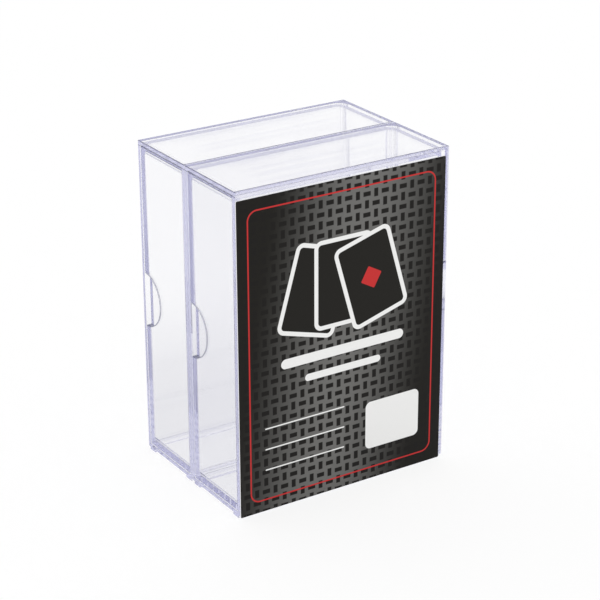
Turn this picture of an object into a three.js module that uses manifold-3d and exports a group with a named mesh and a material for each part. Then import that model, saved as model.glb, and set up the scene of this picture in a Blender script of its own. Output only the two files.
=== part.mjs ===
// Two clear slide-out boxes for trading cards, standing back to back, with a printed card on the front one.
// Each box is a sleeve, closed at its right end, and a drawer that slides out to the left.
// Millimetres. X runs along the slide, Y from front to back, Z up. The origin is the middle of the base.

import * as THREE from "three";
import { mergeVertices } from "three/addons/utils/BufferGeometryUtils.js";
import Module from "manifold-3d";

const wasm = await Module();
wasm.setup();

// Room for the cards
const pocketWidth = 66.55;
const pocketHeight = 93.1;
const pocketDepth = 22.4;

// Walls
const sleeveWall = 1.2;
const drawerWall = 1.25;
const drawerFloor = 1.6;
const drawerFrontPanel = 1.5;

// Clearances
const runningClearance = 0.2;
const endClearance = 1;
const gapBetweenBoxes = 0.2;
const glueFilm = 0.05;

// Rounded corners of the sleeve and the drawer
const sleeveEdgeRadius = 0.4;
const pocketBackRadius = 2.4;
const pocketFrontRadius = 0.5;

// Half-moon notches: one in the drawer's panel to pull by, one in the sleeve's closed end to push by
const notchRadius = 8.3;

// Low rails that the sleeve stands on
const railHeight = 0.8;
const railWidth = 3;
const railInset = 0.9;

// Printed card on the front face
const cardThickness = 0.4;
const cardDropFromTop = 2.6;
const cardInsetFromClosedEnd = 1.6;
const cardAboveBase = 0.5;
const cardCornerRadius = 0.4;

// How far a cut runs past the face that it opens
const overrun = 1;

// Straight steps in a quarter of a circle
const quarterSteps = 6;

// Sizes that follow from the ones above
const drawerLength = drawerFrontPanel + pocketWidth + drawerWall;
const drawerDepth = pocketDepth + drawerFloor;
const drawerHeight = pocketHeight + 2 * drawerWall;
const boxWidth = drawerLength + endClearance + sleeveWall;
const boxDepth = drawerDepth + 2 * (sleeveWall + runningClearance);
const boxHeight = drawerHeight + 2 * (sleeveWall + runningClearance);
const drawerInset = sleeveWall + runningClearance;
const pairDepth = cardThickness + glueFilm + 2 * boxDepth + gapBetweenBoxes;
const frontBoxFace = cardThickness + glueFilm - pairDepth / 2;
const rearBoxFace = frontBoxFace + boxDepth + gapBetweenBoxes;

// A rectangle whose corners have their own radii, in the order
// low-low, high-low, high-high, low-high, for the first and then the second direction
function roundedOutline([lowA, lowB], [highA, highB], radii) {
  const corners = [
    [lowA, lowB, 1, 1, Math.PI],
    [highA, lowB, -1, 1, 1.5 * Math.PI],
    [highA, highB, -1, -1, 0],
    [lowA, highB, 1, -1, 0.5 * Math.PI],
  ];
  const points = [];
  corners.forEach(([a, b, towardsA, towardsB, startAngle], index) => {
    const radius = radii[index];
    if (radius === 0) {
      points.push(new THREE.Vector2(a, b));
      return;
    }
    for (let step = 0; step <= quarterSteps; step += 1) {
      const angle = startAngle + (step / quarterSteps) * (Math.PI / 2);
      points.push(
        new THREE.Vector2(
          a + radius * (towardsA + Math.cos(angle)),
          b + radius * (towardsB + Math.sin(angle)),
        ),
      );
    }
  });
  return points;
}

// A half disc on the low side of its straight edge, in the order Y, Z.
// Past that edge it runs on straight by the given reach.
function halfMoonOutline(edge, middle, radius, reach) {
  const points = [
    new THREE.Vector2(edge + reach, middle - radius),
    new THREE.Vector2(edge + reach, middle + radius),
  ];
  const steps = 4 * quarterSteps;
  for (let step = 0; step <= steps; step += 1) {
    const angle = Math.PI / 2 + (step / steps) * Math.PI;
    points.push(new THREE.Vector2(edge + radius * Math.cos(angle), middle + radius * Math.sin(angle)));
  }
  return points;
}

// Turns a closed triangle mesh into a solid that can be joined and cut
function solidFromGeometry(geometry) {
  geometry.deleteAttribute("normal");
  geometry.deleteAttribute("uv");
  const merged = mergeVertices(geometry);
  const mesh = new wasm.Mesh({
    numProp: 3,
    vertProperties: new Float32Array(merged.attributes.position.array),
    triVerts: new Uint32Array(merged.index.array),
  });
  return new wasm.Manifold(mesh);
}

// Extrudes an outline from a starting place. The basis holds the directions of the outline's
// first and second axis and of the extrusion.
function extrude(points, basis, start, depth) {
  const geometry = new THREE.ExtrudeGeometry(new THREE.Shape(points), { depth, bevelEnabled: false });
  geometry.applyMatrix4(new THREE.Matrix4().makeBasis(...basis).setPosition(start));
  return solidFromGeometry(geometry);
}

const RIGHT = new THREE.Vector3(1, 0, 0);
const BACK = new THREE.Vector3(0, 1, 0);
const FRONT = new THREE.Vector3(0, -1, 0);
const UP = new THREE.Vector3(0, 0, 1);

// Extrudes an outline given in Y, Z along X
function extrudeAlongX(points, fromX, toX) {
  return extrude(points, [BACK, UP, RIGHT], new THREE.Vector3(fromX, 0, 0), toX - fromX);
}

// Extrudes an outline given in X, Z along Y
function extrudeAlongY(points, fromY, toY) {
  return extrude(points, [RIGHT, UP, FRONT], new THREE.Vector3(0, toY, 0), toY - fromY);
}

// Extrudes an outline given in X, Y along Z
function extrudeAlongZ(points, fromZ, toZ) {
  return extrude(points, [RIGHT, BACK, UP], new THREE.Vector3(0, 0, fromZ), toZ - fromZ);
}

// Turns a finished solid into a named, coloured mesh
function meshFromSolid(name, solid, material) {
  const { vertProperties, triVerts } = solid.getMesh();
  const geometry = new THREE.BufferGeometry();
  geometry.setAttribute("position", new THREE.BufferAttribute(new Float32Array(vertProperties), 3));
  geometry.setIndex(new THREE.BufferAttribute(new Uint32Array(triVerts), 1));
  geometry.computeVertexNormals();
  const mesh = new THREE.Mesh(geometry, material);
  mesh.name = name;
  return mesh;
}

function clearPlastic(colour) {
  return new THREE.MeshStandardMaterial({
    color: colour,
    roughness: 0.08,
    metalness: 0,
    flatShading: true,
    transparent: true,
    opacity: 0.35,
  });
}

// Outer sleeve: four walls and a closed right end, with the drawer's room open to the left.
// Its left, front, lower corner is at the origin; its rails reach below Z = 0.
function sleeveSolid() {
  const edge = sleeveEdgeRadius;
  const section = roundedOutline([0, 0], [boxDepth, boxHeight], [edge, edge, edge, edge]);
  const plan = roundedOutline([0, 0], [boxWidth, boxDepth], [0, edge, edge, 0]);
  const roomPlan = roundedOutline(
    [-overrun, sleeveWall],
    [boxWidth - sleeveWall, boxDepth - sleeveWall],
    [0, 0, pocketBackRadius + drawerWall + runningClearance, 0],
  );
  let solid = extrudeAlongX(section, 0, boxWidth).intersect(extrudeAlongZ(plan, 0, boxHeight));
  for (const railFront of [railInset, boxDepth - railInset - railWidth]) {
    const railBack = railFront + railWidth;
    const rail = roundedOutline([railFront, -railHeight], [railBack, sleeveWall / 2], [0, 0, 0, 0]);
    solid = solid.add(extrudeAlongX(rail, 0, boxWidth - edge));
  }
  const drawerBack = boxDepth - drawerInset;
  const pushNotch = halfMoonOutline(drawerBack, boxHeight / 2, notchRadius, runningClearance);
  const notchStart = drawerLength - pocketBackRadius - drawerWall;
  return solid
    .subtract(extrudeAlongZ(roomPlan, sleeveWall, boxHeight - sleeveWall))
    .subtract(extrudeAlongX(pushNotch, notchStart, boxWidth + overrun));
}

// Drawer: an open-fronted tray whose left panel fills the mouth of the sleeve.
// The pull notch goes through that panel only, so the end of the floor shows in it.
function drawerSolid() {
  const front = drawerInset;
  const back = drawerInset + drawerDepth;
  const low = drawerInset;
  const high = drawerInset + drawerHeight;
  const backRadius = pocketBackRadius + drawerWall;
  const outerPlan = roundedOutline([0, front], [drawerLength, back], [0, 0, backRadius, 0]);
  const pocketEnd = drawerFrontPanel + pocketWidth;
  const pocketPlan = roundedOutline(
    [drawerFrontPanel, front - overrun],
    [pocketEnd, back - drawerFloor],
    [0, 0, pocketBackRadius, pocketFrontRadius],
  );
  const pocketFace = roundedOutline(
    [drawerFrontPanel, low + drawerWall],
    [pocketEnd, high - drawerWall],
    [pocketFrontRadius, 0, 0, pocketFrontRadius],
  );
  const pocket = extrudeAlongZ(pocketPlan, low, high).intersect(
    extrudeAlongY(pocketFace, front - overrun, back - drawerFloor),
  );
  const pullNotch = halfMoonOutline(back, boxHeight / 2, notchRadius, overrun);
  const outerFace = roundedOutline([0, low], [drawerLength, high], [0, 0, 0, 0]);
  const aboveFloor = extrudeAlongY(outerFace, front, back - drawerFloor);
  const intoPocket = extrudeAlongX(pullNotch, -overrun, drawerFrontPanel + overrun).intersect(aboveFloor);
  const throughPanel = extrudeAlongX(pullNotch, -overrun, drawerFrontPanel);
  return extrudeAlongZ(outerPlan, low, high).subtract(pocket.add(intoPocket)).subtract(throughPanel);
}

// Printed card, flat against the front face and flush with the open end of the sleeve
function printedCardSolid() {
  const radius = cardCornerRadius;
  const outline = roundedOutline(
    [0, cardAboveBase - railHeight],
    [boxWidth - cardInsetFromClosedEnd, boxHeight - cardDropFromTop],
    [radius, radius, radius, radius],
  );
  return extrudeAlongY(outline, -glueFilm - cardThickness, -glueFilm);
}

// One box: a sleeve and its drawer, with the sleeve's left, front, lower corner at the group's origin
function slideBox(name, face) {
  const box = new THREE.Group();
  box.add(meshFromSolid(`${name}_sleeve`, sleeveSolid(), clearPlastic("#d9dbf2")));
  box.add(meshFromSolid(`${name}_drawer`, drawerSolid(), clearPlastic("#eceefa")));
  box.position.set(-boxWidth / 2, face, railHeight);
  return box;
}

const frontBox = slideBox("front", frontBoxFace);
const rearBox = slideBox("rear", rearBoxFace);
const printedInk = new THREE.MeshStandardMaterial({
  color: "#2c2c2e",
  roughness: 0.35,
  metalness: 0,
  flatShading: true,
});
frontBox.add(meshFromSolid("printed_card", printedCardSolid(), printedInk));

const cardStorageBoxes = new THREE.Group();
cardStorageBoxes.add(frontBox, rearBox);

export default cardStorageBoxes;
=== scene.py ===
"""Looks of two clear slide-out boxes for trading cards, back to back, with a printed card on the front one.

Metres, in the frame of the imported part: X runs along the slide, Y from front to back, Z up.
"""

import logging
import math
from collections.abc import Callable, Iterator
from contextlib import contextmanager
from dataclasses import dataclass
from enum import Enum

import bmesh
import bpy
from mathutils import Matrix, Vector


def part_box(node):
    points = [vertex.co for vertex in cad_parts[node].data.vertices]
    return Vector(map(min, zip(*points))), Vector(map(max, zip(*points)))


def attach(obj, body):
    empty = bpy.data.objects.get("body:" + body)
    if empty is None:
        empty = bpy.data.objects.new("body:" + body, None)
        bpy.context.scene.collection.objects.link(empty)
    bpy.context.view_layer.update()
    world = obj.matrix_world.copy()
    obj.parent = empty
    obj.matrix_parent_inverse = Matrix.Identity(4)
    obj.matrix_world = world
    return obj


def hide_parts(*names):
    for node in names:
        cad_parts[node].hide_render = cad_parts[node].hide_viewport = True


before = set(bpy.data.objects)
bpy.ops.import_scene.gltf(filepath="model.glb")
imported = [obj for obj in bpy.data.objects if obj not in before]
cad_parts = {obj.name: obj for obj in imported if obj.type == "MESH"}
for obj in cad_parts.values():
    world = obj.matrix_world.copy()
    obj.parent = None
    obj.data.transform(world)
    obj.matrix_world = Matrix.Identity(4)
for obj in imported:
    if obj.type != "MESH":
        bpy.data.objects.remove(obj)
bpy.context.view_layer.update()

MM = 0.001
PER_METRE = 1 / MM

# How far a cutter runs past the face that it opens
OVERRUN = 1 * MM

# Two places closer than this are the same place
NEAR = 0.01 * MM

# How far past the easing of a notch its dull faces, which also carry painted shade, reach
DULL_AND_SHADED_MARGIN = 5 * NEAR

# Points closer than these become one: after a cut, in a finished piece and, as a share of a rounding's
# width, before the edges are rounded
CUT_MERGING = 2 * NEAR
FINISH_MERGING = NEAR / 2
EASING_MERGING_SHARE = 0.45

# Faces that meet at more than the first angle get a rounded edge. Those that meet at less than the second
# are shaded as one round surface, and at less than the third they are one flat face
SHARP_ANGLE = math.radians(40)
SMOOTH_ANGLE = math.radians(46)
FLAT_ANGLE = math.radians(1)

# A face looks along an axis where its normal has more than this along it
FACING = 0.9

# Sides of a round cutter: twice an odd number, so that no corner is straight above its middle
DISC_SIDES = 94

# The colour sockets of a Mix node: its inputs, and its output
MIX_SHARE, MIX_UNDER, MIX_OVER = 0, 6, 7
MIX_RESULT = 2

log = logging.getLogger("card_boxes")

Colour = tuple[float, float, float]
Span = tuple[float, float]
Socket = bpy.types.NodeSocket


class BlockEdge(Enum):
    """An edge of a block, by the side of the block's middle that it lies on in X, Y and Z."""

    BACK_RIGHT = (1, 1, 0)
    BACK_LEFT = (-1, 1, 0)
    LEFT_TOP = (-1, 0, 1)
    LEFT_BOTTOM = (-1, 0, -1)


# The edges that are rounded at a block's right end, and those at the top and the foot of its left end
RIGHT_END = (BlockEdge.BACK_RIGHT,)
LEFT_END = (BlockEdge.LEFT_TOP, BlockEdge.LEFT_BOTTOM)


class Combine(Enum):
    """How a tool shape changes the piece that it meets."""

    CUT = "DIFFERENCE"
    JOIN = "UNION"


def select_alone(piece: bpy.types.Object) -> None:
    """Selects one piece alone and makes it the active one.

    Args:
        piece: The piece to select.
    """
    bpy.ops.object.select_all(action="DESELECT")
    piece.select_set(True)
    bpy.context.view_layer.objects.active = piece


@contextmanager
def editing(piece: bpy.types.Object, kind: str) -> Iterator[None]:
    """Opens a piece in edit mode with nothing selected, and closes it afterwards.

    Args:
        piece: The piece to edit.
        kind: What is selected there: VERT, EDGE or FACE.
    """
    select_alone(piece)
    bpy.ops.object.mode_set(mode="EDIT")
    bpy.ops.mesh.select_mode(type=kind)
    bpy.ops.mesh.select_all(action="DESELECT")
    yield
    bpy.ops.object.mode_set(mode="OBJECT")


def select_faces(piece: bpy.types.Object, wanted: Callable[[bmesh.types.BMFace], bool]) -> None:
    """Selects, in edit mode, the faces that pass a test, and nothing else.

    Args:
        piece: The piece that is being edited.
        wanted: Says whether a face is to be selected.
    """
    bpy.ops.mesh.select_all(action="DESELECT")
    mesh = bmesh.from_edit_mesh(piece.data)
    for face in filter(wanted, mesh.faces):
        face.select_set(True)
    bmesh.update_edit_mesh(piece.data)


def select_edges(piece: bpy.types.Object, wanted: Callable[[Vector, Vector], bool]) -> None:
    """Selects, in edit mode, the edges whose two ends pass a test, and nothing else.

    Args:
        piece: The piece that is being edited.
        wanted: Says from an edge's two ends whether it is to be selected.
    """
    bpy.ops.mesh.select_all(action="DESELECT")
    mesh = bmesh.from_edit_mesh(piece.data)
    for edge in mesh.edges:
        if wanted(edge.verts[0].co, edge.verts[1].co):
            edge.select_set(True)
    bmesh.update_edit_mesh(piece.data)


def both_near(first: Vector, second: Vector, axis: int, place: float) -> bool:
    """Says whether both ends of an edge are at a place along an axis.

    Args:
        first: One end.
        second: The other end.
        axis: The axis: 0, 1 or 2 for X, Y or Z.
        place: The place on it.

    Returns:
        True where both ends are there.
    """
    return abs(first[axis] - place) < NEAR and abs(second[axis] - place) < NEAR


def apply_modifier(piece: bpy.types.Object, kind: str, **settings: object) -> None:
    """Adds a modifier to a piece and applies it at once.

    Args:
        piece: The piece to change.
        kind: The modifier's type, as Blender names it.
        **settings: The modifier's own settings.
    """
    select_alone(piece)
    modifier = piece.modifiers.new(kind.title(), kind)
    for name, value in settings.items():
        setattr(modifier, name, value)
    bpy.ops.object.modifier_apply(modifier=modifier.name)


def add_block(name: str, low: Vector, high: Vector) -> bpy.types.Object:
    """Adds a plain block between two corners, with its place in its mesh.

    Args:
        name: The block's name.
        low: Its lowest corner.
        high: Its highest corner.

    Returns:
        The new block, which is the start of a piece or a tool.
    """
    bpy.ops.object.select_all(action="DESELECT")
    bpy.ops.mesh.primitive_cube_add(size=1, location=(low + high) / 2, scale=high - low)
    block = bpy.context.object
    block.name = block.data.name = name
    bpy.ops.object.transform_apply(location=True, rotation=True, scale=True)
    return block


def round_edges(
    block: bpy.types.Object, places: tuple[BlockEdge, ...], radius: float, segments: int
) -> None:
    """Rounds chosen edges of a block.

    Args:
        block: A block on which these edges are sharp and reach equally far from its middle to both sides.
        places: The edges that are rounded.
        radius: Their radius.
        segments: The number of faces across each rounded edge.
    """
    corners = [Vector(corner) for corner in block.bound_box]
    middle = sum(corners, Vector()) / len(corners)

    def chosen(first: Vector, second: Vector) -> bool:
        away = (first + second) / 2 - middle
        side = tuple(0 if abs(value) < NEAR else int(math.copysign(1, value)) for value in away)
        return any(side == place.value for place in places)

    with editing(block, "EDGE"):
        select_edges(block, chosen)
        bpy.ops.mesh.bevel(offset=radius, segments=segments, affect="EDGES")


def add_disc(name: str, radius: float, low: Vector, length: float) -> bpy.types.Object:
    """Adds a thick disc that lies across X.

    Args:
        name: The disc's name.
        radius: Its radius.
        low: The middle of its face at low X.
        length: How far it reaches from there.

    Returns:
        The new disc, with its place in its mesh.
    """
    bpy.ops.object.select_all(action="DESELECT")
    bpy.ops.mesh.primitive_cylinder_add(
        vertices=DISC_SIDES,
        radius=radius,
        depth=length,
        location=low + Vector((length / 2, 0, 0)),
        rotation=(0, math.pi / 2, 0),
    )
    disc = bpy.context.object
    disc.name = disc.data.name = name
    bpy.ops.object.transform_apply(location=True, rotation=True, scale=True)
    return disc


def clean_mesh(piece: bpy.types.Object, reach: float) -> None:
    """Takes out the slivers and the doubled points that cutting and rounding leave.

    Args:
        piece: The piece to clean.
        reach: Points closer than this become one.
    """
    with editing(piece, "VERT"):
        bpy.ops.mesh.select_all(action="SELECT")
        bpy.ops.mesh.remove_doubles(threshold=reach)
        bpy.ops.mesh.dissolve_degenerate(threshold=reach)


def combine(piece: bpy.types.Object, tool: bpy.types.Object, how: Combine) -> None:
    """Cuts a piece with a tool shape, or joins the two, and throws the tool away.

    Args:
        piece: The piece to change.
        tool: The tool shape, used up by this.
        how: Whether to cut or to join.
    """
    apply_modifier(piece, "BOOLEAN", object=tool, operation=how.value, solver="EXACT")
    bpy.data.meshes.remove(tool.data)
    clean_mesh(piece, CUT_MERGING)


def ease_edges(piece: bpy.types.Object, width: float, segments: int) -> None:
    """Rounds the sharp edges that are left, then shades flat faces flat and round ones smooth.

    Args:
        piece: The piece to finish.
        width: How far the rounding reaches from the edge.
        segments: The number of faces across it.
    """
    clean_mesh(piece, EASING_MERGING_SHARE * width)
    apply_modifier(
        piece,
        "BEVEL",
        limit_method="ANGLE",
        angle_limit=SHARP_ANGLE,
        width=width,
        segments=segments,
        miter_outer="MITER_ARC",
    )
    clean_mesh(piece, FINISH_MERGING)
    select_alone(piece)
    bpy.ops.object.shade_smooth_by_angle(angle=SMOOTH_ANGLE)
    apply_modifier(piece, "WEIGHTED_NORMAL", keep_sharp=True)


def copy_piece(piece: bpy.types.Object, name: str, shift: Vector) -> bpy.types.Object:
    """Copies a finished piece, with a mesh of its own, to another place.

    Args:
        piece: The piece to copy.
        name: The copy's name.
        shift: How far the copy stands from the piece.

    Returns:
        The copy, with its place in its mesh.
    """
    select_alone(piece)
    bpy.ops.object.duplicate()
    copy = bpy.context.object
    copy.name = copy.data.name = name
    with editing(copy, "VERT"):
        bpy.ops.mesh.select_all(action="SELECT")
        bpy.ops.transform.translate(value=shift)
    return copy


class Sketch:
    """Adds and links nodes in one node tree."""

    def __init__(self, tree: bpy.types.NodeTree) -> None:
        """Starts on a tree, which keeps what it already holds.

        Args:
            tree: The node tree.
        """
        self.tree = tree

    def add(self, kind: str, inputs: dict[str | int, object], **settings: object) -> bpy.types.Node:
        """Adds a node.

        Args:
            kind: The node's type, as Blender names it.
            inputs: What each input takes: a plain value or the socket that feeds it.
            **settings: The node's own settings.

        Returns:
            The new node.
        """
        node = self.tree.nodes.new(kind)
        for name, value in settings.items():
            setattr(node, name, value)
        for key, value in inputs.items():
            if isinstance(value, Socket):
                self.tree.links.new(value, node.inputs[key])
            else:
                node.inputs[key].default_value = value
        return node

    def sum(self, operation: str, *values: float | Socket) -> Socket:
        """Works out one step of arithmetic.

        Args:
            operation: The step, as Blender names it.
            *values: The numbers or sockets that go into it.

        Returns:
            The socket that carries the result.
        """
        return self.add("ShaderNodeMath", dict(enumerate(values)), operation=operation).outputs[0]

    def ramp(
        self, value: Socket, start: float, end: float, low: float | Socket, high: float | Socket
    ) -> Socket:
        """Turns a value from start to end, smoothly, into one from low to high.

        Args:
            value: The value.
            start: Where it starts, and at or before which the result is low.
            end: Where it ends, and at or past which the result is high.
            low: The result at the start.
            high: The result at the end.

        Returns:
            The socket that carries the result.
        """
        inputs = {"Value": value, "From Min": start, "From Max": end, "To Min": low, "To Max": high}
        node = self.add("ShaderNodeMapRange", inputs, interpolation_type="SMOOTHSTEP")
        return node.outputs["Result"]

    def blend(self, share: float | Socket, under: object, over: object) -> Socket:
        """Lays one colour over another.

        Args:
            share: How much of the upper colour shows, from 0 to 1.
            under: The lower colour.
            over: The upper colour.

        Returns:
            The socket that carries the mixed colour.
        """
        inputs = {MIX_SHARE: share, MIX_UNDER: under, MIX_OVER: over}
        return self.add("ShaderNodeMix", inputs, data_type="RGBA").outputs[MIX_RESULT]

    def noise(self, place: Socket, scale: float, detail: float) -> Socket:
        """Adds a noise pattern.

        Args:
            place: The place that it is looked up at.
            scale: How fine it is: patterns in one unit of the place.
            detail: How many finer layers it has.

        Returns:
            The socket that carries its value.
        """
        inputs = {"Vector": place, "Scale": scale, "Detail": detail}
        return self.add("ShaderNodeTexNoise", inputs).outputs["Fac"]

    def stretch(self, place: Socket, scales: tuple[float, float, float]) -> Socket:
        """Scales a place by its own factor along each axis.

        Args:
            place: The place.
            scales: The factors for X, Y and Z.

        Returns:
            The socket that carries the scaled place.
        """
        return self.add("ShaderNodeVectorMath", {0: place, 1: scales}, operation="MULTIPLY").outputs[0]

    def object_place(self) -> Socket:
        """Gives places on the piece, in metres.

        Returns:
            The socket that carries them.
        """
        return self.add("ShaderNodeTexCoord", {}).outputs["Object"]

    def place(self, origin: Vector, scale: float, turn: float = 0.0) -> Socket:
        """Gives places on the piece, seen from another origin.

        Args:
            origin: Where the pattern's own origin is, in metres.
            scale: By how much places grow, once they are taken from the origin.
            turn: By how much the pattern is turned about the origin in X and Z, in degrees.

        Returns:
            The socket that carries the places.
        """
        moved = self.add("ShaderNodeVectorMath", {0: self.object_place(), 1: origin}, operation="SUBTRACT")
        rotation = (0.0, math.radians(turn), 0.0)
        inputs = {"Vector": moved.outputs[0], "Rotation": rotation, "Scale": Vector((scale,) * 3)}
        return self.add("ShaderNodeMapping", inputs).outputs[0]


def rgba(colour: Colour, share: float = 1.0) -> tuple[float, float, float, float]:
    """Turns a colour, or a darker one, into the form that a socket takes.

    Args:
        colour: The colour.
        share: How much of its light is kept.

    Returns:
        The colour with full cover.
    """
    return (*[share * value for value in colour], 1.0)


def new_group(
    name: str, inputs: dict[str, str], outputs: list[str]
) -> tuple[Sketch, bpy.types.Node, bpy.types.Node]:
    """Starts a shader node group.

    Args:
        name: The group's name.
        inputs: The kind of each input socket by its name: Vector or Float.
        outputs: The names of its output values.

    Returns:
        A sketch of the group's tree, its input node and its output node.
    """
    tree = bpy.data.node_groups.new(name, "ShaderNodeTree")
    for socket, kind in inputs.items():
        tree.interface.new_socket(socket, in_out="INPUT", socket_type=f"NodeSocket{kind}")
    for socket in outputs:
        tree.interface.new_socket(socket, in_out="OUTPUT", socket_type="NodeSocketFloat")
    sketch = Sketch(tree)
    return sketch, sketch.add("NodeGroupInput", {}), sketch.add("NodeGroupOutput", {})


@dataclass(frozen=True)
class HandlingWear:
    """The wear of slid and handled plastic: fine scratches along the slide, rubs and finger smudges.

    Scales are in patterns per metre. A fade is the two values of a pattern between which a mark comes in.
    The rubs die away between the two half lengths, and start between the two heights.
    """

    scratch_scales: tuple[float, float, float] = (30.0, 1500.0, 1500.0)
    scratch_detail: float = 2.0
    scratch_fade: Span = (0.66, 0.74)
    patch_scale: float = 60.0
    patch_detail: float = 2.0
    patch_fade: Span = (0.5, 0.7)
    rub_scales: tuple[float, float, float] = (9.0, 500.0, 40.0)
    rub_detail: float = 1.0
    rub_fade: Span = (0.5, 0.6)
    rub_half_length: Span = (17 * MM, 30 * MM)
    rub_height: Span = (94 * MM, 95 * MM)
    smudge_scale: float = 45.0
    smudge_detail: float = 4.0
    smudge_fade: Span = (0.5, 0.75)
    ripple_scale: float = 70.0
    ripple_detail: float = 1.0

    def group(self) -> bpy.types.NodeTree:
        """Makes the node group of the wear.

        The rubs are soft streaks on the upper walls, which rub on each other, and more so in the middle.

        Returns:
            A group that takes a place in metres and gives three masks and a height from 0 to 1.
        """
        outputs = ["Scratches", "Rubs", "Smudges", "Ripple"]
        sketch, taken, given = new_group("handling_wear", {"Place": "Vector"}, outputs)
        place = taken.outputs["Place"]
        strokes = sketch.noise(sketch.stretch(place, self.scratch_scales), 1.0, self.scratch_detail)
        patches = sketch.noise(place, self.patch_scale, self.patch_detail)
        fine = sketch.ramp(strokes, *self.scratch_fade, 0.0, 1.0)
        scratches = sketch.sum("MULTIPLY", fine, sketch.ramp(patches, *self.patch_fade, 0.0, 1.0))
        drawn_out = sketch.noise(sketch.stretch(place, self.rub_scales), 1.0, self.rub_detail)
        streaks = sketch.ramp(drawn_out, *self.rub_fade, 0.0, 1.0)
        parts = sketch.add("ShaderNodeSeparateXYZ", {0: place})
        middle = sketch.ramp(sketch.sum("ABSOLUTE", parts.outputs["X"]), *self.rub_half_length, 1.0, 0.0)
        upper = sketch.ramp(parts.outputs["Z"], *self.rub_height, 0.0, 1.0)
        rubs = sketch.sum("MULTIPLY", streaks, sketch.sum("MULTIPLY", middle, upper))
        cloud = sketch.noise(place, self.smudge_scale, self.smudge_detail)
        smudges = sketch.ramp(cloud, *self.smudge_fade, 0.0, 1.0)
        ripple = sketch.noise(place, self.ripple_scale, self.ripple_detail)
        for name, value in zip(outputs, (scratches, rubs, smudges, ripple)):
            sketch.tree.links.new(value, given.inputs[name])
        return sketch.tree


def dull_and_shaded_faces_group(
    sleeve: tuple[Vector, Vector], drawer: tuple[Vector, Vector], pitch: float
) -> bpy.types.NodeTree:
    """Makes the mask of the dull faces at a box's mouth: those round the pull notch, and the upper arrises.
    The material paints shade on them by this mask, as well as making them rough.

    Both are easings, the narrow rounded faces along an edge, so they are told by where they are.

    Args:
        sleeve: The lowest and the highest corner of a sleeve.
        drawer: The same of its drawer.
        pitch: How far apart in Y two boxes are.

    Returns:
        A group that takes a place in metres and gives the mask.
    """
    sketch, taken, given = new_group("dull_and_shaded_faces", {"Place": "Vector"}, ["Mask"])
    low, high = drawer
    parts = sketch.add("ShaderNodeSeparateXYZ", {0: taken.outputs["Place"]})
    across, up = parts.outputs["Y"], parts.outputs["Z"]
    from_back = sketch.sum("FLOORED_MODULO", sketch.sum("SUBTRACT", high.y, across), pitch)
    from_middle = sketch.sum("SUBTRACT", up, (low.z + high.z) / 2)
    squares = [sketch.sum("MULTIPLY", value, value) for value in (from_back, from_middle)]
    radius = sketch.sum("SQRT", sketch.sum("ADD", *squares))
    half_easing = Drawer.edge_easing / 2
    rim_radius = Drawer.notch_radius + half_easing
    at_rim = sketch.sum("COMPARE", radius, rim_radius, half_easing + DULL_AND_SHADED_MARGIN)
    rim = sketch.sum("MULTIPLY", at_rim, sketch.sum("LESS_THAN", parts.outputs["X"], low.x + Drawer.panel))
    tops = [
        sketch.sum("COMPARE", up, top - easing / 2, easing / 2)
        for top, easing in ((sleeve[1].z, Sleeve.edge_easing), (high.z, Drawer.edge_easing))
    ]
    at_mouth = sketch.sum("LESS_THAN", parts.outputs["X"], low.x + Drawer.edge_easing)
    arrises = sketch.sum("MULTIPLY", sketch.sum("MAXIMUM", *tops), at_mouth)
    sketch.tree.links.new(sketch.sum("MAXIMUM", rim, arrises), given.inputs["Mask"])
    return sketch.tree


def rounded_shape_group() -> bpy.types.NodeTree:
    """Makes the distance to the outline of a rectangle with rounded corners, in X and Z.

    Returns:
        A group that takes a place and half sizes, and gives the distance, below 0 inside.
    """
    sizes = {"Half Width": "Float", "Half Height": "Float", "Corner": "Float"}
    sketch, taken, given = new_group("rounded_shape", {"Place": "Vector", **sizes}, ["Distance"])
    parts = sketch.add("ShaderNodeSeparateXYZ", {0: taken.outputs["Place"]})
    beyond = []
    for axis, half in (("X", "Half Width"), ("Z", "Half Height")):
        reach = sketch.sum("SUBTRACT", taken.outputs[half], taken.outputs["Corner"])
        beyond.append(sketch.sum("SUBTRACT", sketch.sum("ABSOLUTE", parts.outputs[axis]), reach))
    squares = [sketch.sum("POWER", sketch.sum("MAXIMUM", value, 0.0), 2.0) for value in beyond]
    outside = sketch.sum("SQRT", sketch.sum("ADD", *squares))
    inside = sketch.sum("MINIMUM", sketch.sum("MAXIMUM", *beyond), 0.0)
    distance = sketch.sum("SUBTRACT", sketch.sum("ADD", outside, inside), taken.outputs["Corner"])
    sketch.tree.links.new(distance, given.inputs["Distance"])
    return sketch.tree


def new_material(name: str) -> tuple[bpy.types.Material, Sketch, bpy.types.Node, bpy.types.Node]:
    """Starts a material with one Principled shader.

    Args:
        name: The material's name.

    Returns:
        The material, a sketch of its tree, the shader and the output node.
    """
    material = bpy.data.materials.new(name)
    material.use_nodes = True
    nodes = material.node_tree.nodes
    return material, Sketch(material.node_tree), nodes["Principled BSDF"], nodes["Material Output"]


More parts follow.
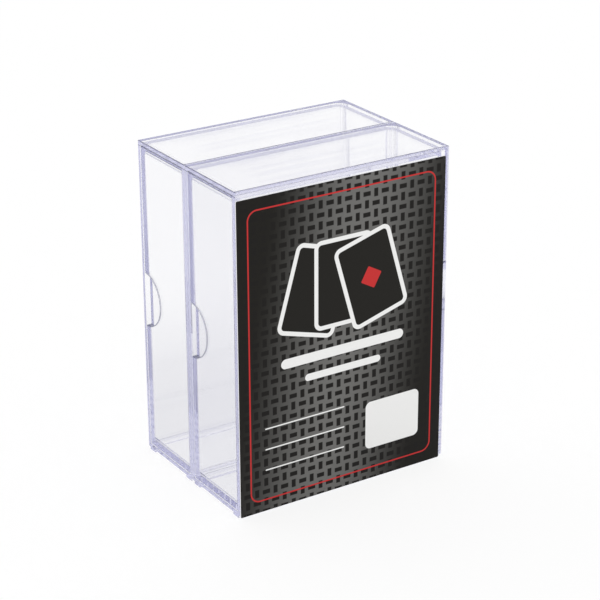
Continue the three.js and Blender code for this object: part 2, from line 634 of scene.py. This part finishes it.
@dataclass(frozen=True)
class ClearPlastic:
    """Clear moulded polystyrene, whose tint shows where light runs along inside a wall.

    The inner tint is what the volume leaves of light, by its density per metre. The other tints are on the
    surface. The dull tint is painted shade: a dark line on the notch rims and on the arrises at the mouth.
    """

    name: str
    tint: Colour = (1.0, 1.0, 1.0)
    rubbed_tint: Colour = (0.945, 0.945, 0.965)
    refraction: float = 1.59
    inner_tint: Colour = (0.78, 0.78, 0.90)
    density: float = 28.0
    roughness: float = 0.015
    smudge_roughness: float = 0.05
    scratch_roughness: float = 0.18
    smudge_shade: float = 0.995
    # Painted shade: this dark tint goes on the dull faces round the notch and on the arrises at the mouth
    painted_shade_tint: Colour = (0.22, 0.23, 0.28)
    dull_roughness: float = 0.45
    ripple_height: float = 0.004 * MM
    scratch_depth: float = 0.003 * MM

    def build(self, wear: bpy.types.NodeTree, dull_and_shaded_faces: bpy.types.NodeTree) -> bpy.types.Material:
        """Makes the material.

        Args:
            wear: The node group that gives scratches and smudges.
            dull_and_shaded_faces: The node group that says where faces are dull and carry painted shade.

        Returns:
            The finished material.
        """
        material, sketch, shader, output = new_material(self.name)
        place = sketch.object_place()
        worn = sketch.add("ShaderNodeGroup", {"Place": place}, node_tree=wear)
        scratches, smudges = worn.outputs["Scratches"], worn.outputs["Smudges"]
        smudged = sketch.sum("MULTIPLY_ADD", smudges, self.smudge_roughness, self.roughness)
        scratched = sketch.sum("MULTIPLY_ADD", scratches, self.scratch_roughness, smudged)
        dull_and_shaded = sketch.add("ShaderNodeGroup", {"Place": place}, node_tree=dull_and_shaded_faces).outputs["Mask"]
        rough = sketch.sum("MULTIPLY_ADD", dull_and_shaded, self.dull_roughness, scratched)
        ripple = sketch.sum("MULTIPLY", worn.outputs["Ripple"], self.ripple_height)
        height = sketch.sum("MULTIPLY_ADD", scratches, -self.scratch_depth, ripple)
        bump = sketch.add("ShaderNodeBump", {"Height": height, "Strength": 1.0, "Distance": 1.0})
        cloud = sketch.blend(smudges, rgba(self.tint), rgba(self.tint, self.smudge_shade))
        rubbed = sketch.blend(worn.outputs["Rubs"], cloud, rgba(self.rubbed_tint))
        # Painted shade: the dull faces are darkened in colour, where in light they show a dark line
        coloured = sketch.blend(dull_and_shaded, rubbed, rgba(self.painted_shade_tint))
        sketch.tree.links.new(coloured, shader.inputs["Base Color"])
        sketch.tree.links.new(rough, shader.inputs["Roughness"])
        sketch.tree.links.new(bump.outputs[0], shader.inputs["Normal"])
        shader.inputs["IOR"].default_value = self.refraction
        shader.inputs["Transmission Weight"].default_value = 1.0
        absorbing = {"Color": rgba(self.inner_tint), "Density": self.density}
        depth = sketch.add("ShaderNodeVolumeAbsorption", absorbing)
        sketch.tree.links.new(depth.outputs[0], output.inputs["Volume"])
        return material


class Ink(Enum):
    """The colours of the print, as linear values."""

    WHITE = (0.86, 0.86, 0.85)
    RED = (0.55, 0.03, 0.03)
    GROUND = (0.012, 0.011, 0.009)


@dataclass(frozen=True)
class Motif:
    """A rectangle with rounded corners in the print, filled or, with a stroke, drawn as an outline.

    Sizes and places are in millimetres, from the middle of the print. The turn is in degrees.
    """

    ink: Ink
    middle: tuple[float, float]
    half_size: tuple[float, float]
    corner: float
    turn: float = 0.0
    stroke: float = 0.0


def fanned_card(middle: tuple[float, float], turn: float) -> list[Motif]:
    """A blank card of the fan in the print: its ground and, over that, its white outline.

    Args:
        middle: The card's middle, in millimetres from the middle of the print.
        turn: Its turn in degrees.

    Returns:
        The two motifs, the lower one first.
    """
    half_size = (9.2, 12.9)
    corner = 1.8
    return [
        Motif(Ink.GROUND, middle, half_size, corner, turn),
        Motif(Ink.WHITE, middle, half_size, corner, turn, stroke=1.3),
    ]


MOTIFS = [
    Motif(Ink.RED, (0.0, 0.0), (31.4, 44.4), 3.0, stroke=0.45),
    *fanned_card((-9.5, 16.5), -16.0),
    *fanned_card((0.0, 17.5), 0.0),
    *fanned_card((9.5, 16.5), 16.0),
    Motif(Ink.RED, (9.5, 16.5), (2.6, 2.6), 0.4, turn=61.0),
    Motif(Ink.WHITE, (0.0, -3.5), (21.0, 1.5), 1.5),
    Motif(Ink.WHITE, (0.0, -9.5), (13.0, 1.1), 1.1),
    *[Motif(Ink.WHITE, (-13.0, height), (13.5, 0.2), 0.2) for height in (-22.0, -28.5, -35.0)],
    Motif(Ink.WHITE, (17.5, -30.5), (9.5, 7.6), 1.8),
]


@dataclass(frozen=True)
class PrintedStock:
    """White card stock, printed on the side that faces the front.

    The glow, the weave and the soft edges of the print are in millimetres, and the glow's turn is in degrees.
    Scales are in patterns per metre. The bare sides are rougher than the print by the bare roughness.
    """

    name: str
    shade: Colour = (0.010, 0.009, 0.007)
    light: Colour = (0.150, 0.148, 0.142)
    weave: Colour = (0.009, 0.008, 0.007)
    paper: Colour = (0.93, 0.93, 0.94)
    glow_half_size: tuple[float, float] = (12.0, 70.0)
    glow_corner: float = 12.0
    glow_turn: float = -10.0
    glow_fade: Span = (-10.0, 20.0)
    weave_pitch: float = 3.1
    bar_half_length_share: float = 0.4
    bar_half_width_share: float = 0.22
    soft_edge: float = 0.12
    ink_depth: float = 0.03 * MM
    roughness: float = 0.42
    bare_roughness: float = 0.4
    uneven_scale: float = 180.0
    uneven_detail: float = 3.0
    uneven_roughness: float = 0.12
    specular: float = 0.12
    fibre_scale: float = 2600.0
    fibre_detail: float = 3.0
    fibre_shade: float = 0.92
    fibre_height: float = 0.004 * MM

    def build(self, shape: bpy.types.NodeTree, low: Vector, high: Vector) -> bpy.types.Material:
        """Makes the material.

        Args:
            shape: The node group that gives the distance to a rounded rectangle.
            low: The card's lowest corner.
            high: The card's highest corner.

        Returns:
            The finished material.
        """
        material, sketch, shader, _ = new_material(self.name)
        middle = (low + high) / 2
        print_colour = self.ground(sketch, shape, middle)
        for motif in MOTIFS:
            covered = self.mask(sketch, shape, middle, motif)
            print_colour = sketch.blend(covered, print_colour, rgba(motif.ink.value))
        place = sketch.object_place()
        fibres = sketch.noise(place, self.fibre_scale, self.fibre_detail)
        paper = sketch.blend(fibres, rgba(self.paper), rgba(self.paper, self.fibre_shade))
        depth = sketch.add("ShaderNodeSeparateXYZ", {0: place}).outputs["Y"]
        bare = sketch.sum("GREATER_THAN", depth, low.y + self.ink_depth)
        sketch.tree.links.new(sketch.blend(bare, print_colour, paper), shader.inputs["Base Color"])
        gloss = sketch.sum("MULTIPLY_ADD", bare, self.bare_roughness, self.roughness)
        uneven = sketch.noise(place, self.uneven_scale, self.uneven_detail)
        rough = sketch.sum("MULTIPLY_ADD", uneven, self.uneven_roughness, gloss)
        sketch.tree.links.new(rough, shader.inputs["Roughness"])
        shader.inputs["Specular IOR Level"].default_value = self.specular
        height = sketch.sum("MULTIPLY", fibres, self.fibre_height)
        bump = sketch.add("ShaderNodeBump", {"Height": height, "Strength": 1.0, "Distance": 1.0})
        sketch.tree.links.new(bump.outputs[0], shader.inputs["Normal"])
        return material

    @staticmethod
    def distance(
        sketch: Sketch,
        shape: bpy.types.NodeTree,
        place: Socket,
        half_size: tuple[float, float],
        corner: float,
    ) -> Socket:
        """Gives the distance to the outline of a rectangle with rounded corners, below 0 inside.

        Args:
            sketch: The sketch of the material's tree.
            shape: The node group that gives the distance.
            place: The place, in millimetres from the middle of the rectangle.
            half_size: Half the rectangle's width and half its height.
            corner: The radius of its corners.

        Returns:
            The socket that carries the distance, in millimetres.
        """
        sizes = {"Half Width": half_size[0], "Half Height": half_size[1], "Corner": corner}
        node = sketch.add("ShaderNodeGroup", {"Place": place, **sizes}, node_tree=shape)
        return node.outputs["Distance"]

    def mask(self, sketch: Sketch, shape: bpy.types.NodeTree, middle: Vector, motif: Motif) -> Socket:
        """Gives 1 where a motif is printed and 0 elsewhere.

        Args:
            sketch: The sketch of the material's tree.
            shape: The node group that gives the distance to a rounded rectangle.
            middle: The middle of the card, in metres.
            motif: The motif.

        Returns:
            The socket that carries the mask.
        """
        origin = middle + Vector((motif.middle[0], 0, motif.middle[1])) * MM
        place = sketch.place(origin, PER_METRE, motif.turn)
        distance = self.distance(sketch, shape, place, motif.half_size, motif.corner)
        if motif.stroke:
            distance = sketch.sum("SUBTRACT", sketch.sum("ABSOLUTE", distance), motif.stroke / 2)
        return sketch.ramp(distance, -self.soft_edge / 2, self.soft_edge / 2, 1.0, 0.0)

    def ground(self, sketch: Sketch, shape: bpy.types.NodeTree, middle: Vector) -> Socket:
        """Makes the ground of the print: a tall, slanting glow on black, under a weave of short bars.

        Args:
            sketch: The sketch of the material's tree.
            shape: The node group that gives the distance to a rounded rectangle.
            middle: The middle of the card, in metres.

        Returns:
            The socket that carries the ground's colour.
        """
        slanting = sketch.place(middle, PER_METRE, self.glow_turn)
        from_glow = self.distance(sketch, shape, slanting, self.glow_half_size, self.glow_corner)
        lit = sketch.ramp(from_glow, *self.glow_fade, 1.0, 0.0)
        base = sketch.blend(lit, rgba(self.shade), rgba(self.light))
        cells = sketch.place(middle, PER_METRE / self.weave_pitch)
        parts = sketch.add("ShaderNodeSeparateXYZ", {0: cells})
        across, up = parts.outputs["X"], parts.outputs["Z"]
        count = sketch.sum("ADD", sketch.sum("FLOOR", across), sketch.sum("FLOOR", up))
        odd = sketch.sum("FLOORED_MODULO", count, 2.0)
        from_middle = [sketch.sum("SUBTRACT", sketch.sum("FRACT", value), 0.5) for value in (across, up)]
        beside, above = [sketch.sum("ABSOLUTE", value) for value in from_middle]
        lying = sketch.sum("MULTIPLY", self.bar(sketch, beside, above), odd)
        even = sketch.sum("SUBTRACT", 1.0, odd)
        standing = sketch.sum("MULTIPLY", self.bar(sketch, above, beside), even)
        return sketch.blend(sketch.sum("ADD", lying, standing), base, rgba(self.weave))

    def bar(self, sketch: Sketch, along: Socket, across: Socket) -> Socket:
        """Gives 1 inside a short bar in the middle of a cell of the weave and 0 round it.

        Args:
            sketch: The sketch of the material's tree.
            along: How far a place is from the cell's middle along the bar, as a share of the cell.
            across: The same across the bar.

        Returns:
            The socket that carries the mask.
        """
        soft = self.soft_edge / self.weave_pitch
        inside = [
            sketch.ramp(away, half - soft, half + soft, 1.0, 0.0)
            for away, half in ((along, self.bar_half_length_share), (across, self.bar_half_width_share))
        ]
        return sketch.sum("MULTIPLY", *inside)


@dataclass
class Sleeve:
    """The outer sleeve of a box: four walls and a closed right end, on two low rails."""

    low: Vector
    high: Vector
    wall: float = 1.2 * MM
    running_clearance: float = 0.2 * MM
    edge_radius: float = 0.4 * MM
    room_corner_radius: float = 3.85 * MM
    notch_radius: float = 8.3 * MM
    rail_height: float = 0.8 * MM
    rail_width: float = 3 * MM
    rail_inset: float = 0.9 * MM
    edge_easing: float = 0.3 * MM
    edge_segments: int = 3
    room_corner_segments: int = 14

    def build(self, name: str) -> bpy.types.Object:
        """Models the sleeve.

        Args:
            name: The piece's name.

        Returns:
            The finished piece, without a material.
        """
        foot = self.low + Vector((0, 0, self.rail_height))
        piece = add_block(name, foot, self.high)
        self.hollow(piece)
        self.round_outside(piece, foot)
        self.round_room(piece)
        for front in (self.low.y + self.rail_inset, self.high.y - self.rail_inset - self.rail_width):
            low = Vector((self.low.x, front, self.low.z))
            high = Vector((self.high.x - self.edge_radius, front + self.rail_width, foot.z + self.wall / 2))
            combine(piece, add_block("rail", low, high), Combine.JOIN)
        self.cut_notch(piece, (foot.z + self.high.z) / 2)
        ease_edges(piece, self.edge_easing, self.edge_segments)
        return piece

    def hollow(self, piece: bpy.types.Object) -> None:
        """Opens the left face and pushes it in up to the closed end.

        Args:
            piece: The sleeve, as a plain block.
        """
        with editing(piece, "FACE"):
            select_faces(piece, lambda face: face.normal.x < -FACING)
            bpy.ops.mesh.inset(thickness=self.wall)
            depth = self.high.x - self.low.x - self.wall
            bpy.ops.mesh.extrude_region_move(TRANSFORM_OT_translate={"value": (depth, 0, 0)})

    def round_outside(self, piece: bpy.types.Object, foot: Vector) -> None:
        """Rounds the outer edges that run along the slide and those round the closed end.

        Args:
            piece: The sleeve.
            foot: The lowest corner of its walls, above the rails.
        """
        corner_lines = [(y, z) for y in (foot.y, self.high.y) for z in (foot.z, self.high.z)]

        def outer(one: Vector, two: Vector) -> bool:
            along = any(both_near(one, two, 1, y) and both_near(one, two, 2, z) for y, z in corner_lines)
            return along or both_near(one, two, 0, self.high.x)

        with editing(piece, "EDGE"):
            select_edges(piece, outer)
            bpy.ops.mesh.bevel(offset=self.edge_radius, segments=self.edge_segments, affect="EDGES")

    def round_room(self, piece: bpy.types.Object) -> None:
        """Rounds the upright edge of the room between the back wall and the closed end.

        Args:
            piece: The sleeve.
        """
        end, back = self.high.x - self.wall, self.high.y - self.wall

        def corner(one: Vector, two: Vector) -> bool:
            return both_near(one, two, 0, end) and both_near(one, two, 1, back)

        with editing(piece, "EDGE"):
            select_edges(piece, corner)
            segments = self.room_corner_segments
            bpy.ops.mesh.bevel(offset=self.room_corner_radius, segments=segments, affect="EDGES")

    def cut_notch(self, piece: bpy.types.Object, height: float) -> None:
        """Cuts the half-moon that lets a finger push the drawer out through the closed end.

        Args:
            piece: The sleeve.
            height: The notch's middle.
        """
        back = self.high.y - self.wall
        from_x = self.high.x - self.wall - self.room_corner_radius
        start = Vector((from_x, back - self.running_clearance, height))
        cutter = add_disc("push_notch", self.notch_radius, start, self.high.x + OVERRUN - from_x)
        with editing(cutter, "FACE"):
            bpy.ops.mesh.select_all(action="SELECT")
            bpy.ops.mesh.bisect(plane_co=(0, back, 0), plane_no=(0, 1, 0), use_fill=True, clear_outer=True)
        combine(piece, cutter, Combine.CUT)


@dataclass
class Drawer:
    """A drawer: a tray, open to the front, whose left panel fills the mouth of the sleeve."""

    low: Vector
    high: Vector
    wall: float = 1.25 * MM
    floor: float = 1.6 * MM
    panel: float = 1.5 * MM
    pocket_radius: float = 2.4 * MM
    small_radius: float = 0.5 * MM
    end_radius: float = 1.5 * MM
    notch_radius: float = 8.3 * MM
    edge_easing: float = 0.25 * MM
    edge_segments: int = 3
    corner_segments: int = 14
    pocket_segments: int = 12
    end_segments: int = 6

    def build(self, name: str) -> bpy.types.Object:
        """Models the drawer.

        Args:
            name: The piece's name.

        Returns:
            The finished piece, without a material.
        """
        piece = add_block(name, self.low, self.high)
        round_edges(piece, RIGHT_END, self.pocket_radius + self.wall, self.corner_segments)
        combine(piece, self.core(), Combine.CUT)
        combine(piece, self.notch_cutter(), Combine.CUT)
        ease_edges(piece, self.edge_easing, self.edge_segments)
        return piece

    def core(self) -> bpy.types.Object:
        """Makes the shape of the pocket, as the core of the mould has it.

        Its edges are round at the right end, a little less so at the top and the foot of the panel, and
        nearly sharp between the panel and the floor.

        Returns:
            The core, which is a tool to cut with.
        """
        low = self.low + Vector((self.panel, -OVERRUN, self.wall))
        high = self.high - Vector((self.wall, self.floor, self.wall))
        core = add_block("pocket_core", low, high)
        round_edges(core, RIGHT_END, self.pocket_radius, self.pocket_segments)
        round_edges(core, LEFT_END, self.end_radius, self.end_segments)
        round_edges(core, (BlockEdge.BACK_LEFT,), self.small_radius, self.edge_segments)
        return core

    def notch_cutter(self) -> bpy.types.Object:
        """Makes the half-moon by which the drawer is pulled.

        It goes through the panel and, in front of the floor, on into the pocket. The floor's end shows in it.

        Returns:
            The half-moon, which is a tool to cut with.
        """
        start = Vector((self.low.x - OVERRUN, self.high.y, (self.low.z + self.high.z) / 2))
        cutter = add_disc("pull_notch", self.notch_radius, start, self.panel + OVERRUN)
        floor_top = self.high.y - self.floor
        with editing(cutter, "FACE"):
            bpy.ops.mesh.select_all(action="SELECT")
            bpy.ops.mesh.bisect(plane_co=(0, floor_top, 0), plane_no=(0, 1, 0))
            select_faces(
                cutter, lambda face: face.normal.x > FACING and face.calc_center_median().y < floor_top
            )
            bpy.ops.mesh.extrude_region_move(TRANSFORM_OT_translate={"value": (OVERRUN, 0, 0)})
            bpy.ops.mesh.select_all(action="SELECT")
            bpy.ops.mesh.dissolve_limited(angle_limit=FLAT_ANGLE)
        return cutter


@dataclass
class SlideBox:
    """A sleeve and its drawer."""

    name: str
    sleeve: bpy.types.Object
    drawer: bpy.types.Object

    @classmethod
    def model(cls, name: str) -> "SlideBox":
        """Models a box in the place of its CAD nodes.

        Args:
            name: The start of its nodes' names.

        Returns:
            The box, without materials.
        """
        sleeve = Sleeve(*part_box(f"{name}_sleeve")).build(f"{name}_sleeve_shell")
        drawer = Drawer(*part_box(f"{name}_drawer")).build(f"{name}_drawer_tray")
        return cls(name, sleeve, drawer)

    def copy(self, name: str) -> "SlideBox":
        """Copies the box to the place of another box's CAD nodes.

        Args:
            name: The start of those nodes' names.

        Returns:
            The other box, without materials.
        """
        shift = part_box(f"{name}_drawer")[0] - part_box(f"{self.name}_drawer")[0]
        sleeve = copy_piece(self.sleeve, f"{name}_sleeve_shell", shift)
        drawer = copy_piece(self.drawer, f"{name}_drawer_tray", shift)
        return SlideBox(name, sleeve, drawer)

    def dress(self, sleeve_plastic: bpy.types.Material, drawer_plastic: bpy.types.Material) -> None:
        """Gives both pieces their plastic and ties them to their bodies.

        Args:
            sleeve_plastic: The sleeve's material.
            drawer_plastic: The drawer's material.
        """
        settle(self.sleeve, f"{self.name}_box", f"{self.name}_sleeve", sleeve_plastic)
        settle(self.drawer, f"{self.name}_drawer", f"{self.name}_drawer", drawer_plastic)


def settle(piece: bpy.types.Object, body: str, node: str, material: bpy.types.Material) -> None:
    """Gives a piece its material and makes it stand for a CAD node.

    Args:
        piece: The finished piece.
        body: The CAD body that it moves with.
        node: The CAD node that it replaces.
        material: Its material.
    """
    piece.data.materials.clear()
    piece.data.materials.append(material)
    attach(piece, body)
    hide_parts(node)
    log.info("%s rides on %s for %s, with %d faces", piece.name, body, node, len(piece.data.polygons))


@dataclass
class PrintedCard:
    """The printed card on the front face: stiff stock with rounded corners."""

    low: Vector
    high: Vector
    corner_radius: float = 0.4 * MM
    corner_segments: int = 8
    edge_easing: float = 0.02 * MM
    edge_segments: int = 2

    def build(self, name: str) -> bpy.types.Object:
        """Models the card.

        Args:
            name: The piece's name.

        Returns:
            The finished piece, without a material.
        """
        piece = add_block(name, self.low, self.high)
        with editing(piece, "EDGE"):
            select_edges(piece, lambda one, two: abs(one.y - two.y) > NEAR)
            bpy.ops.mesh.bevel(offset=self.corner_radius, segments=self.corner_segments, affect="EDGES")
        ease_edges(piece, self.edge_easing, self.edge_segments)
        return piece


@dataclass
class Studio:
    """A white floor, even light and the camera.

    The floor that shows through the plastic has a painted shadow, full up to the first of the two reaches,
    and less and less from there to the second. Angles are in degrees and the lens is in millimetres.
    """

    floor_half_width: float = 6.0
    floor_colour: Colour = (1.0, 1.0, 1.0)
    # The painted shadow that the floor shows through the plastic: its colour, and how far it reaches
    painted_shadow_colour: Colour = (0.82, 0.82, 0.84)
    painted_shadow_reaches: Span = (55 * MM, 145 * MM)
    shadow_fading: float = 0.8
    air_under_base: float = 0.05 * MM
    lens: float = 118.34
    nearest_seen: float = 10 * MM
    eye: tuple[float, float, float] = (-0.28965, -0.45228, 0.2766)
    azimuth: float = 32.82
    elevation: float = 22.84
    roll: float = -0.22
    world_colour: Colour = (1.0, 1.0, 1.0)
    world_strength: float = 1.0
    most_bounces: int = 128

    def build(self) -> None:
        """Sets up all of it."""
        self.lay_floor()
        self.light_room()
        self.stand_camera()
        bpy.context.scene.view_settings.view_transform = "Standard"
        self.let_light_through()

    def let_light_through(self) -> None:
        """Lets light cross all the clear walls and run along inside them, unblurred."""
        cycles = bpy.context.scene.cycles
        cycles.max_bounces = self.most_bounces
        cycles.glossy_bounces = self.most_bounces
        cycles.transmission_bounces = self.most_bounces
        cycles.blur_glossy = 0.0

    def lay_floor(self) -> None:
        """Lays the floor, with a film of air over it.

        Clear walls and reflections show it lit, with a painted shadow near the object. The camera sees its
        real shadow, faded.
        """
        bpy.ops.object.select_all(action="DESELECT")
        location = (0, 0, -self.air_under_base)
        bpy.ops.mesh.primitive_plane_add(size=2 * self.floor_half_width, location=location)
        floor = bpy.context.object
        floor.name = floor.data.name = "floor"
        material, sketch, shader, output = new_material("pale_floor")
        shader.inputs["Base Color"].default_value = rgba(self.floor_colour)
        shader.inputs["Roughness"].default_value = 1.0
        shader.inputs["Specular IOR Level"].default_value = 0.0
        place = sketch.object_place()
        away = sketch.add("ShaderNodeVectorMath", {0: place}, operation="LENGTH").outputs["Value"]
        rays = sketch.add("ShaderNodeLightPath", {}).outputs
        seen_through = sketch.sum("MAXIMUM", rays["Is Glossy Ray"], rays["Is Transmission Ray"])
        # Painted shadow: the floor seen through the plastic or in reflections darkens near the object
        shade = sketch.ramp(away, *self.painted_shadow_reaches, seen_through, 0.0)
        seen_colour = sketch.blend(shade, rgba(self.floor_colour), rgba(self.painted_shadow_colour))
        glow = sketch.add("ShaderNodeEmission", {"Color": seen_colour, "Strength": 1.0})
        seen = sketch.sum("MULTIPLY", rays["Is Camera Ray"], self.shadow_fading)
        share = sketch.sum("MAXIMUM", seen_through, seen)
        mixed = {0: share, 1: shader.outputs[0], 2: glow.outputs[0]}
        floor_light = sketch.add("ShaderNodeMixShader", mixed)
        sketch.tree.links.new(floor_light.outputs[0], output.inputs["Surface"])
        material.cycles.emission_sampling = "NONE"
        floor.data.materials.append(material)

    def light_room(self) -> None:
        """Lights the room evenly from all sides."""
        world = bpy.data.worlds.new("studio")
        world.use_nodes = True
        bpy.context.scene.world = world
        background = world.node_tree.nodes["Background"]
        background.inputs["Color"].default_value = rgba(self.world_colour)
        background.inputs["Strength"].default_value = self.world_strength

    def stand_camera(self) -> None:
        """Stands the camera where the photograph was taken from."""
        camera = bpy.data.objects.new("camera", bpy.data.cameras.new("camera"))
        camera.data.lens = self.lens
        camera.data.clip_start = self.nearest_seen
        turn = Matrix.Rotation(math.radians(-self.azimuth), 4, "Z")
        tilt = Matrix.Rotation(math.radians(90 - self.elevation), 4, "X")
        roll = Matrix.Rotation(math.radians(self.roll), 4, "Z")
        camera.matrix_world = Matrix.Translation(self.eye) @ turn @ tilt @ roll
        bpy.context.scene.collection.objects.link(camera)
        bpy.context.scene.camera = camera


def main() -> None:
    """Builds the studio and each sub-assembly."""
    logging.basicConfig(level=logging.INFO, format="%(message)s")
    Studio().build()
    wear = HandlingWear().group()
    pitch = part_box("rear_drawer")[0].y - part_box("front_drawer")[0].y
    # The mask of the dull faces, by which the plastics also paint shade on them
    dull_and_shaded_faces = dull_and_shaded_faces_group(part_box("front_sleeve"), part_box("front_drawer"), pitch)
    sleeve_plastic = ClearPlastic("sleeve_plastic").build(wear, dull_and_shaded_faces)
    drawer_plastic = ClearPlastic("drawer_plastic", density=26.0).build(wear, dull_and_shaded_faces)
    front = SlideBox.model("front")
    rear = front.copy("rear")
    for box in (front, rear):
        box.dress(sleeve_plastic, drawer_plastic)
    low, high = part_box("printed_card")
    card = PrintedCard(low, high).build("printed_card_stock")
    stock = PrintedStock("printed_card").build(rounded_shape_group(), low, high)
    settle(card, "front_box", "printed_card", stock)


if __name__ == "__main__":
    main()
